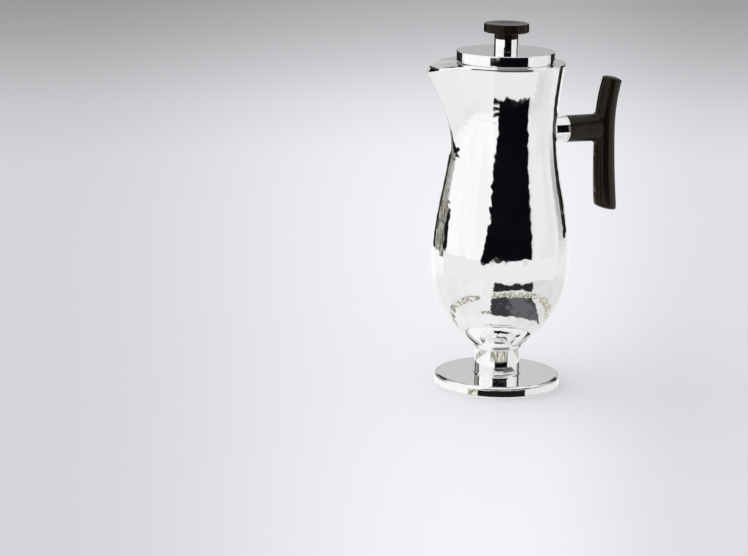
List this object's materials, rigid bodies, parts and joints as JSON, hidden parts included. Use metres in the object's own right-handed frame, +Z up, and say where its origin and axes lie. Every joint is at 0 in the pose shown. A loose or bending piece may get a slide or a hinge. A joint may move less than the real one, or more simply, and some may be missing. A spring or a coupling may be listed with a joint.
{
  "type": "coffee pot",
  "caption": "Tall hammered silver coffee pot on a round pedestal foot, with a drawn pouring lip, a lift-off lid with a dark wooden knob and a T-shaped dark wooden side handle.",
  "frame": {"origin": "centre of the foot's flat underside, on the pot's axis", "axes": "+Z up along the pot's axis, +X towards the wooden handle, -X towards the pouring lip"},
  "size_m": [0.1444, 0.0948, 0.25],
  "materials": {
    "hammered_silver": "polished silver with planishing marks",
    "polished_silver": "mirror-polished silver",
    "dark_wood": "oiled very dark hardwood, satin",
    "brass_fitting": "turned brass"
  },
  "bodies": {
    "pot": {"body": "hammered_silver", "top_deck": "polished_silver", "lid_seat": "polished_silver", "foot_plate": "polished_silver", "foot_base_plate": "polished_silver", "pedestal_stem": "polished_silver", "pedestal_collar": "polished_silver", "handle_socket": "polished_silver", "handle_pin": "polished_silver", "handle_grip": "dark_wood"},
    "lid": {"lid_plate": "polished_silver", "lid_wall": "polished_silver", "lid_flange": "polished_silver", "knob_stem": "polished_silver", "knob": "dark_wood", "knob_stud": "brass_fitting", "knob_washer": "brass_fitting", "knob_nut": "brass_fitting"}
  },
  "joints": [
    {"name": "lid_lift", "type": "slide", "parent": "pot", "child": "lid", "axis": [0, 0, 1], "range_m": [0, 0.06]}
  ]
}
